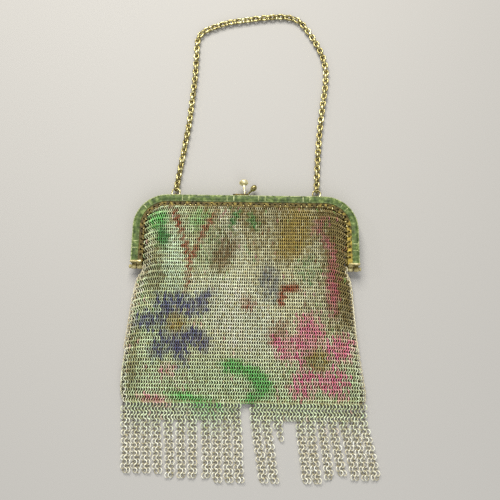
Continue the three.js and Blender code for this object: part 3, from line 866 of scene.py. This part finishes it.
PALE_SILVER = ring_colour(248, 255, 222)
# A pale mint used only as a painted highlight
MINT_HIGHLIGHT = ring_colour(232, 255, 214)
SILVER = ring_colour(246, 246, 202)
MINT = ring_colour(226, 252, 200)
# Warm metal where the print is rubbed off, also laid on as painted shade
WARM_METAL_AND_SHADE = ring_colour(134, 116, 58)
BLUE = ring_colour(92, 94, 142)
ROSE = ring_colour(254, 132, 172)
DUSKY_ROSE = ring_colour(204, 108, 122)
LEAF_GREEN = ring_colour(116, 206, 108)
DEEP_GREEN = ring_colour(72, 146, 72)
OLIVE = ring_colour(176, 154, 76)
RUST = ring_colour(168, 84, 48)
TAUPE = ring_colour(150, 126, 84)
SLATE = ring_colour(128, 134, 140)
CREAM = ring_colour(238, 230, 196)
# Colours of the rings' inner sides, darker as painted shade on the low arcs between rings
SHADED_CREAM = ring_colour(140, 128, 90)
SHADED_INSIDE = ring_colour(70, 60, 34)
# Heights off a ring's middle, outwards, between which the inner side's darker colour, painted shade,
# gives way to the print
PAINTED_SHADE_FROM = -0.08
PAINTED_SHADE_TO = 0.38
# The print's ground and the painted shade at the side edges: where each of its parts begins and where it
# is full
GROUND = {"top_y": (-45, -8), "foot_y": (-60, -80), "left_x": (-4, -38), "left_edge_x": (-43, -48),
          "right_edge_x": (30, 44), "right_edge_y": (-70, -50)}
MINT_SHARE = {"left": 0.75, "foot": 0.8}
# How far the parts are rubbed down to warm metal; at the side edges this is partly painted shade
# on the slopes that turn from the light. The top is spared at the left, and the right edge is
# rubbed and shaded a little all the way down.
RUBBED_AND_SHADED = {"all": 0.03, "top": 0.68, "spared": 0.85, "right_edge": 1.05, "lower_right": 0.15,
          "left_edge": 0.3, "clouds": 0.12}
# Two crossing waves: radians a millimetre across and up, and the start
CLOUD_WAVES = [(0.21, 0.1, 0), (-0.09, 0.13, 0.6)]
CLOUD_TINT = 0.1
# The bag's lower sides are rubbed pale: the height where that begins, and how strong it is
PALE_EDGES = [("left", -22, 0.7), ("right", -58, 0.45)]
PALE_EDGE_FADE = 4
PALE_EDGE_WIDTH = 4.4
STRAY = {"share": 0.015, "strength": 0.4}
# How a colour lies on the rings: a little more than its strength, unevenly, and never quite opaque
LAID = 1.1
PATCHY = 0.18
PETAL_PATCHY = 0.3
FAINTEST = 0.05
FULLEST = 0.95
SPOT_FULL = 0.6
SPOT_END = 1.4
WEAR_SPREAD = 0.07
WEAR_LIMITS = (0.7, 1.3)
HEART_STRENGTH = 0.7
# Flowers: the middle, the heart, and petals given as turns in degrees and lengths from the middle
DAISY = {"x": -29.5, "y": -57.5, "heart": 4.2, "petal": 3.7, "colour": BLUE, "strength": 0.68,
         "petals": [(40, 20), (84, 14), (124, 15), (175, 18), (240, 18), (282, 19), (325, 18)]}
ROSETTE = {"x": 31.2, "y": -72.4, "heart": 4.6, "petal": 5.2, "colour": ROSE, "strength": 0.66,
           "petals": [(106, 19), (25, 16.5), (-52, 18), (-120, 18), (158, 19.5)]}
# Leaves, stems and patches, among them painted highlights and painted shade on the folds: middle in x and
# y, half length and width, turn in degrees, colour, strength
SPRAYS = [
    # Painted highlights where the bag's surface faces the light: the next three patches
    (-2, -54, 22, 13, -42, PALE_SILVER, 0.8),
    (-5, -22, 16, 5, -75, PALE_SILVER, 0.45),
    (-31, -30, 13, 4.4, 96, MINT_HIGHLIGHT, 0.85),
    # Painted shade on the slope of the left edge
    (-47, -70, 16, 3, 94, WARM_METAL_AND_SHADE, 0.3),
    (-2.5, -76, 7, 2.8, -14, LEAF_GREEN, 0.9),
    (7, -81.5, 6.5, 3.6, -48, LEAF_GREEN, 1.0),
    (4.5, -88, 5, 2.6, 35, LEAF_GREEN, 0.8),
    (-20, -89.5, 11, 2.6, -15, LEAF_GREEN, 0.75),
    # Painted shade below the frame's left corner
    (-40, -34, 12, 4.4, 95, WARM_METAL_AND_SHADE, 0.5),
    (-13, -26, 12, 7, 72, DEEP_GREEN, 0.16),
    (-39, -12, 4.5, 3.4, 40, LEAF_GREEN, 0.85),
    (-36.4, -20, 5.5, 2.8, 100, DEEP_GREEN, 0.9),
    (-21, -12, 5, 4, 70, LEAF_GREEN, 0.35),
    (-30.4, -12, 7, 1.2, -67, RUST, 0.8),
    (-26.2, -24.5, 6.5, 1.1, -75, RUST, 0.75),
    (-16.8, -14, 7.2, 1.2, 62, RUST, 0.55),
    (-22, -26, 6.8, 1.2, 66, RUST, 0.65),
    (-24.8, -37, 6.8, 1.1, 88, RUST, 0.5),
    (-9, -27, 9, 4.6, 64, TAUPE, 0.75),
    (-5, -11, 5, 1.4, 68, DEEP_GREEN, 0.75),
    (3.4, -12.5, 4, 2, 110, DEEP_GREEN, 0.55),
    (22, -17, 10, 7, 80, OLIVE, 0.8),
    (18, -25, 6, 4.4, 30, OLIVE, 0.6),
    (1.4, -49, 4, 2.6, 120, RUST, 0.5),
    (27, -34, 7, 4.4, 75, DEEP_GREEN, 0.3),
    (10.5, -39.5, 8, 5, 100, SLATE, 0.55),
    (20, -42, 4, 1.8, 10, RUST, 0.85),
    (16, -46.5, 4, 1.6, 80, RUST, 0.8),
    (14.5, -61, 6, 3.6, 60, RUST, 0.5),
    # Painted shade on the right side's slope
    (30, -54, 9, 6, 80, WARM_METAL_AND_SHADE, 0.22),
    (32, -14, 4.5, 2, 60, DUSKY_ROSE, 0.42),
    (36.4, -23, 7.5, 1.8, -66, DUSKY_ROSE, 0.5),
    (38, -42, 11, 2.6, 92, DUSKY_ROSE, 0.62),
    (-32, -77, 3, 2.4, 0, ROSE, 0.4),
    (-37.5, -89, 6.5, 2, -12, ROSE, 0.5),
]
SEED = 11
draws = np.random.default_rng(SEED)


def grown(value, start, full):
    """Nothing up to the start, one from where it is full, and even growth between them."""
    return np.clip((value - start) / (full - start), 0, 1)


def read_column(table, column, y):
    """A table's column read smoothly at heights, through rows that run from the top down."""
    heights = np.array([row["y"] for row in reversed(table)], float)
    values = np.array([row[column] for row in reversed(table)], float)
    slopes = np.gradient(values, heights)
    i = np.clip(np.searchsorted(heights, y) - 1, 0, len(heights) - 2)
    span = heights[i + 1] - heights[i]
    t = np.clip((y - heights[i]) / span, 0, 1)
    start = (2 * t**3 - 3 * t**2 + 1) * values[i] + (t**3 - 2 * t**2 + t) * span * slopes[i]
    return start + (3 * t**2 - 2 * t**3) * values[i + 1] + (t**3 - t**2) * span * slopes[i + 1]


def bag_reach(y, side_name):
    """How far the bag reaches to one side at given heights."""
    rise = np.clip(y + CORNER, 0, BAG_CORNER)
    inside = CORNER_X + np.sqrt(BAG_CORNER**2 - rise**2)
    return np.where(y < MOUTH_END, read_column(BAG_SIDES, side_name, y), inside)


def front_height(x, y):
    """Height of the bag's front over the surface, with its soft folds."""
    left, right = -bag_reach(y, "left"), bag_reach(y, "right")
    edge, crown = read_column(BAG_HEIGHTS, "edge", y), read_column(BAG_HEIGHTS, "crown", y)
    offset = np.minimum(np.abs((2 * x - left - right) / (right - left)), 1)
    folded = np.zeros_like(x)
    for fold in FOLDS:
        down = y - fold["y"]
        sideways = x - fold["x"] - fold["slant"] * down
        apart = (sideways / fold["width"]) ** 2 + (down / fold["length"]) ** 2
        folded += fold["rise"] * np.exp(-apart)
    folded *= grown(y, FOOT_Y, FOOT_Y + FOLD_FADE) * grown(y, MOUTH_END, MOUTH_END - FOLD_FADE)
    return edge + (crown - edge + folded) * (1 - offset**3)


def arc(side, start, end):
    """Points round one of the bag's top corners, inside its edge, between turns in degrees."""
    turns = np.radians(np.linspace(start, end, ARC_POINTS))
    radius = BAG_CORNER - EDGE_INSET
    across = CORNER_X + radius * np.cos(turns)
    return np.column_stack([side * across, radius * np.sin(turns) - CORNER])


def side_line(side_name):
    """The outermost column of rings, from the middle of a top corner down to the foot."""
    side = SIDES[side_name]
    y = np.linspace(MOUTH_END, LAST_ROW_Y, SIDE_POINTS)
    inset = EDGE_INSET + (SIDE_INSET - EDGE_INSET) * grown(y, MOUTH_END, MOUTH_END - SIDE_BLEND)
    below = np.column_stack([side * (bag_reach(y, side_name) - inset), y])
    return np.concatenate([arc(side, MID_CORNER, 0), below])


def share_of(line):
    """A function that gives points at shares of a line's length."""
    whole = line_length(line)
    return lambda share: at_lengths(line, share * whole)


left_line, right_line = side_line("left"), side_line("right")
ROWS = round(line_length(left_line) / ROW_PITCH) + 1
at_left, at_right = share_of(left_line), share_of(right_line)
at_top = share_of(np.concatenate([arc(-1, MID_CORNER, 90), arc(1, 90, MID_CORNER)]))
at_foot = share_of(np.stack([left_line[-1], right_line[-1]]))


def patch(u, v):
    """Places over the bag's outline: u runs across it along the rows, v down it along the columns."""
    across, down = u[:, None], v[:, None]
    ruled = (1 - down) * at_top(u) + down * at_foot(u) + (1 - across) * at_left(v) + across * at_right(v)
    upper = (1 - across) * left_line[0] + across * right_line[0]
    lower = (1 - across) * left_line[-1] + across * right_line[-1]
    return ruled - (1 - down) * upper - down * lower


def on_front(u, v):
    xy = patch(u, v)
    return np.column_stack([xy, front_height(xy[:, 0], xy[:, 1]) - FRONT_DEPTH])


def on_back(u, v):
    xy = patch(1 - u, v)
    return np.column_stack([xy, np.full(len(u), BACK_MIDDLE)])


def leaning(row_way, down_way, lean):
    """Axes of rings that lie in a sheet and lean along its rows, and the way out of the sheet."""
    row_way, down_way = (np.broadcast_to(way, (len(lean), 3)) for way in (row_way, down_way))
    outwards = np.cross(down_way, row_way)
    lean = np.asarray(lean)[:, None]
    first = unit(np.cos(lean) * row_way - np.sin(lean) * outwards)
    second = unit(-down_way - first * np.sum(-down_way * first, axis=1, keepdims=True))
    return np.stack([first, second, np.cross(first, second)], axis=-1), outwards


def wall(surface, first, last):
    """Places of the rings of part of a wall, from one share of its width to another."""
    columns, rows = np.meshgrid(np.arange(COLUMNS), np.arange(ROWS))
    columns, rows = columns.ravel(), rows.ravel()
    u = (columns + ROW_START + ROW_SHIFT * (rows % 2)) / COLUMNS
    v = rows / (ROWS - 1)
    kept = (u >= first) & (u < last)
    u, v, rows = u[kept], v[kept], rows[kept]
    row_way = surface(np.minimum(u + SLOPE_STEP, 1), v) - surface(np.maximum(u - SLOPE_STEP, 0), v)
    down_way = surface(u, np.minimum(v + SLOPE_STEP, 1)) - surface(u, np.maximum(v - SLOPE_STEP, 0))
    lean = np.where(rows % 2 == 0, LEAN, -LEAN) + draws.normal(0, LEAN_SPREAD, len(u))
    centres = surface(u, v) + draws.normal(0, PLACE_SPREAD, (len(u), 3)) * (1, 1, 0)
    return centres, *leaning(unit(row_way), unit(down_way), lean)


def side_turn(side_name, line):
    """Rings that carry the rows round from the front wall to the back, below the frame's feet."""
    side = SIDES[side_name]
    centres, row_ways, leans = [], [], []
    for row, (x, y) in enumerate(line(np.arange(ROWS) / (ROWS - 1))):
        if y > TURN["top"]:
            continue
        front = front_height(np.array([x]), np.array([y]))[0] - FRONT_DEPTH
        rise, middle = (front - BACK_MIDDLE) / 2, (front + BACK_MIDDLE) / 2
        bulge = min(rise, TURN["bulge"])
        way_round = math.pi * math.hypot(rise, bulge) / math.sqrt(2)
        count = max(1, round(way_round / TURN["pitch"]) - 1)
        turns = math.pi * (np.arange(count) + 1 - ROW_START - ROW_SHIFT * (row % 2)) / count
        turns = np.clip(turns, TURN["margin"], math.pi - TURN["margin"])
        centres += [(x + side * bulge * math.sin(t), y, middle + rise * math.cos(t)) for t in turns]
        row_ways += [(bulge * math.cos(t), 0, -side * rise * math.sin(t)) for t in turns]
        leans += [LEAN if row % 2 == 0 else -LEAN] * count
    return np.array(centres), *leaning(unit(np.array(row_ways)), (0.0, -1.0, 0.0), leans)


def foot_turn():
    """The row of rings that closes the bag's foot."""
    u = (np.arange(COLUMNS) + ROW_SHIFT) / COLUMNS
    x = patch(u, np.ones(COLUMNS))[:, 0]
    middle = (front_height(x, np.full(COLUMNS, LAST_ROW_Y)) - FRONT_DEPTH + BACK_MIDDLE) / 2
    centres = np.column_stack([x, np.full(COLUMNS, FOOT_ROW_Y), middle])
    return centres, *leaning((1.0, 0.0, 0.0), (0.0, 0.0, -1.0), np.full(COLUMNS, FOOT_LEAN))


def soft_spot(x, y, at, long, wide, turn):
    """One inside an ellipse, falling off softly to nothing past its edge."""
    cos, sin = math.cos(turn), math.sin(turn)
    along = ((x - at[0]) * cos + (y - at[1]) * sin) / long
    aside = ((y - at[1]) * cos - (x - at[0]) * sin) / wide
    return grown(np.hypot(along, aside), SPOT_END, SPOT_FULL)


def laid(colour, strength, over, patchy=PATCHY):
    """Rings' colours with another laid over them, unevenly from ring to ring."""
    held = np.clip(LAID * strength + draws.normal(0, patchy, len(strength)), 0, FULLEST)
    return colour + (held * (strength > FAINTEST))[:, None] * (over - colour)


def worn(colour, count):
    """One colour for each ring, lighter and darker by chance."""
    return np.clip(colour * np.clip(draws.normal(1, WEAR_SPREAD, count), *WEAR_LIMITS)[:, None], 0, 1)


def printed(x, y):
    """The print's colour at places on the bag, ring by ring, with rubbed and bare rings among them,
    painted shade at the side edges and painted highlights on the folds.
    """
    left = grown(x, *GROUND["left_x"])
    right_edge = np.maximum(grown(y, *GROUND["right_edge_y"]), RUBBED_AND_SHADED["lower_right"])
    right_edge = right_edge * grown(x, *GROUND["right_edge_x"])
    cloud = np.prod([np.sin(across * x + up * y + start) for across, up, start in CLOUD_WAVES], axis=0)
    mint = np.maximum(MINT_SHARE["left"] * left, MINT_SHARE["foot"] * grown(y, *GROUND["foot_y"]))
    colour = SILVER + mint[:, None] * (MINT - SILVER)
    # Rubbing down to warm metal, partly painted shade at the side edges
    rubbed = RUBBED_AND_SHADED["all"] + RUBBED_AND_SHADED["top"] * grown(y, *GROUND["top_y"]) * (1 - RUBBED_AND_SHADED["spared"] * left)
    rubbed += RUBBED_AND_SHADED["right_edge"] * right_edge + RUBBED_AND_SHADED["left_edge"] * grown(x, *GROUND["left_edge_x"])
    colour = laid(colour, rubbed + RUBBED_AND_SHADED["clouds"] * cloud, WARM_METAL_AND_SHADE)
    for side_name, start, strength in PALE_EDGES:
        below = grown(y, start, start - PALE_EDGE_FADE)
        near = np.clip(PALE_EDGE_WIDTH - bag_reach(y, side_name) + SIDES[side_name] * x, 0, 1)
        colour = laid(colour, strength * below * near, PALE_SILVER)
    for stray in (LEAF_GREEN, ROSE, RUST):
        struck = draws.random(len(x)) < STRAY["share"]
        colour = colour + STRAY["strength"] * struck[:, None] * (stray - colour)
    for at_x, at_y, long, wide, turn, spray_colour, strength in SPRAYS:
        spot = soft_spot(x, y, (at_x, at_y), long, wide, math.radians(turn))
        colour = laid(colour, spot * strength, spray_colour)
    for flower in (DAISY, ROSETTE):
        heart = flower["heart"]
        for turn, length in flower["petals"]:
            turn = math.radians(turn)
            middle = (length + heart) / 2
            at = (flower["x"] + middle * math.cos(turn), flower["y"] + middle * math.sin(turn))
            spot = soft_spot(x, y, at, (length - heart) / 2, flower["petal"], turn)
            colour = laid(colour, spot * flower["strength"], flower["colour"], PETAL_PATCHY)
        spot = soft_spot(x, y, (flower["x"], flower["y"]), heart, heart, 0)
        colour = laid(colour, spot * HEART_STRENGTH, OLIVE)
    return worn(colour * (1 + CLOUD_TINT * cloud)[:, None], len(x))


def lifted(centres, axes, size):
    """The centres, raised where a ring would reach below the surface that the purse lies on."""
    depth = size["radius"] * np.sqrt(1 - axes[:, 2, 2] ** 2) + size["wire"]
    return np.column_stack([centres[:, :2], np.maximum(centres[:, 2], depth)])


def printed_with_shaded_inside(tints, shape, axes, outwards, inside):
    """Tints for each point of each ring: its own on the outer side, and on the inner side a darker one
    that is painted shade.
    """
    height = np.einsum("nk,nki,pi->np", outwards, axes, shape[0])
    outer = grown(height, PAINTED_SHADE_FROM, PAINTED_SHADE_TO)[..., None]
    shaded = inside + outer * (tints[:, None, :] - inside)
    return np.concatenate([shaded, np.ones_like(outer)], axis=-1)


def ring_metal(name, metallic):
    finish, tree, shader = new_finish(name)
    grime = mottle(tree, size=1.1, detail=3)
    dulled = shades(tree, grime, [(0.32, paint(208, 196, 166)), (0.55, paint(255, 255, 255))])
    fine = mottle(tree, size=0.7, detail=2)
    fed(tree, shader, {
        "Base Color": blended(tree, 1.0, attribute(tree, "tint", "Color"), dulled, "MULTIPLY"),
        "Metallic": metallic,
        "Roughness": spread(tree, fine, *MOTTLE_RANGE, to_low=0.24, to_high=0.46),
    })
    return finish


printed_metal = ring_metal("printed_ring_mesh", metallic=0.1)
ring = ring_shape(RING)
# The back carries the front's print, mirrored, and the turns at the sides and foot carry none
for mesh_name, (centres, axes, outwards), print_side in (
    ("mesh_front_left", wall(on_front, 0, 0.5), 1),
    ("mesh_front_right", wall(on_front, 0.5, 1), 1),
    ("mesh_back_left", wall(on_back, 0.5, 1), -1),
    ("mesh_back_right", wall(on_back, 0, 0.5), -1),
    ("mesh_side_left", side_turn("left", at_left), 0),
    ("mesh_side_right", side_turn("right", at_right), 0),
    ("mesh_foot", foot_turn(), 0),
):
    centres = lifted(centres, axes, RING)
    if print_side:
        tints, inside = printed(print_side * centres[:, 0], centres[:, 1]), SHADED_INSIDE
    else:
        tints, inside = worn(CREAM, len(centres)), SHADED_CREAM
    # The inner side of each ring takes the darker colour as painted shade
    ring_tints = printed_with_shaded_inside(tints, ring, axes, outwards, inside)
    mesh_part = joined(mesh_name, ring, centres, axes, printed_metal, ring_tints)
    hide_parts("mesh_bag")

# The hook rings: small gilt wire rings, one through each hole of the flanges, that hold the
# mesh's top row along both halves of the frame.
HOOK = {"radius": 0.92, "wire": 0.18, "around": 10, "sides": 5}
HOOK_SHIFT = 0.86

for half, face in HALVES.items():
    inset, places = piercing_places()
    hooks = [seat(along, inset, face) for along in places]
    hook_centres = np.array([hook @ Vector((HOOK_SHIFT, 0, FLANGE_MIDDLE)) for hook in hooks])
    inwards = np.array([hook.to_3x3().col[0] for hook in hooks])
    upright = np.tile((0.0, 0.0, 1.0), (len(hooks), 1))
    hook_axes = np.stack([inwards, upright, np.cross(inwards, upright)], axis=-1)
    hook_rings = joined("hook_rings_" + half, ring_shape(HOOK), hook_centres, hook_axes, gilt)
    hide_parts("mesh_bag")

# The fringe: strips of like rings, two to a row, that hang from a short head along the bag's
# foot, where more rings fill the rows between the strips. Most of the print has gone here, some
# strips are lost, and one is broken off short.
FRINGE_RING = {"radius": 1.06, "wire": 0.21, "around": 12, "sides": 5}
FRINGE = {"top": -91.3, "pitch": 1.62, "spacing": 1.4, "height": 0.78, "head_rise": 1.4}
FRINGE_LEAN = math.radians(32)
FRINGE_SPREAD = 0.05
HEAD_ROWS = 4
HEAD_Y = -95.4
# Rows between which the rings leave their even places in the head for their strip
NECK_ROWS = (2, 5)
TIP_MARGIN = 1.1
SWAY = {"reach": 0.12, "turn": 0.45}
IVORY = ring_colour(252, 249, 228)
# The fringe rings' inner side, darker as painted shade
SHADED_IVORY = ring_colour(176, 170, 142)
PRINT_FADE = 15.0
PRINT_END = -92.5


def strip(head, tip, end, double_rows=None):
    """A strip: x at its head and its tip, y of its end, and how many rows keep both their rings."""
    return {"head": head, "tip": tip, "end": end, "double_rows": double_rows}


STRIPS = {
    "left": [
        strip(-48.8, -47.1, -119.9), strip(-44.7, -43, -119.9), strip(-40.5, -38.9, -119.8),
        strip(-36.2, -34.3, -118.9), strip(-31.1, -29.1, -120.3), strip(-26.1, -24.4, -120.8),
        strip(-21.3, -19.8, -120.9), strip(-15.4, -14.2, -121.2), strip(-11.2, -10, -121.6),
        strip(-7, -5.4, -122), strip(-2.8, -0.8, -122.5),
    ],
    "right": [
        strip(4.9, 8.9, -121.8), strip(9.3, 13.3, -121.8), strip(14.4, 15.2, -106.5, double_rows=6),
        strip(23.6, 26.4, -122), strip(27.8, 30.5, -121.9), strip(32.4, 35.7, -120.7),
        strip(36.9, 40.8, -119.3), strip(41.2, 46.6, -120.2), strip(45.4, 50.7, -120.2),
        strip(49.6, 54.8, -120.1),
    ],
}


def head_columns(strips):
    """The columns of a fringe's head: each strip's two, and the fillers between strips."""
    columns = []
    for index, hung in enumerate(strips):
        columns += [(hung, -0.5), (hung, 0.5)]
        if index + 1 < len(strips):
            room = strips[index + 1]["head"] - hung["head"]
            columns += [(None, 0)] * max(1, round(room / FRINGE["spacing"]) - 2)
    return columns


def column_rows(hung, place):
    """How many rows a column of the fringe has."""
    if hung is None:
        return HEAD_ROWS
    rows = int((FRINGE["top"] - hung["end"] - TIP_MARGIN) / FRINGE["pitch"]) + 1
    return min(rows, hung["double_rows"]) if hung["double_rows"] and place < 0 else rows


def fringe_rings(strips):
    """Places of a fringe's rings: rows spread evenly along the head, then drawn into strips."""
    centres, leans = [], []
    columns = head_columns(strips)
    spacing = FRINGE["spacing"]
    even = np.linspace(strips[0]["head"] - spacing / 2, strips[-1]["head"] + spacing / 2, len(columns))
    sways = {hung["head"]: draws.uniform(0, 2 * math.pi) for hung in strips}
    for (hung, place), start in zip(columns, even):
        for row in range(column_rows(hung, place)):
            x, y = start, FRINGE["top"] - row * FRINGE["pitch"]
            if hung:
                spot = hung["head"] + (hung["tip"] - hung["head"]) * grown(y, HEAD_Y, hung["end"])
                sway = SWAY["reach"] * math.sin(SWAY["turn"] * row + sways[hung["head"]])
                spot += place * spacing + sway
                x = start + (spot - start) * grown(row, *NECK_ROWS)
            side = 1 if row % 2 == 0 else -1
            rise = FRINGE["head_rise"] * max(1 - row / HEAD_ROWS, 0) ** 2
            centres.append((x + side * spacing / 4, y, FRINGE["height"] + rise))
            leans.append(-side * FRINGE_LEAN)
    centres = np.array(centres) + draws.normal(0, FRINGE_SPREAD, (len(centres), 3)) * (1, 1, 0)
    leans = np.array(leans) + draws.normal(0, LEAN_SPREAD, len(leans))
    return centres, *leaning((1.0, 0.0, 0.0), (0.0, -1.0, 0.0), leans)


plain_metal = ring_metal("plain_ring_mesh", metallic=0.2)
fringe_ring = ring_shape(FRINGE_RING)
for side_name, strips in STRIPS.items():
    centres, axes, outwards = fringe_rings(strips)
    centres = lifted(centres, axes, FRINGE_RING)
    left_over = grown(centres[:, 1], FOOT_Y - PRINT_FADE, FOOT_Y)[:, None]
    tints = printed(centres[:, 0], np.maximum(centres[:, 1], PRINT_END))
    bare = worn(IVORY, len(centres))
    tints = bare + left_over * (tints - bare)
    # The inner sides are painted shade, as dark as the bag's near its foot
    inside = SHADED_IVORY + left_over * (SHADED_INSIDE - SHADED_IVORY)
    ring_tints = printed_with_shaded_inside(tints, fringe_ring, axes, outwards, inside[:, None])
    fringe_name = "fringe_strips_" + side_name
    strip_rings = joined(fringe_name, fringe_ring, centres, axes, plain_metal, ring_tints)
    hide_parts("fringe_" + side_name)
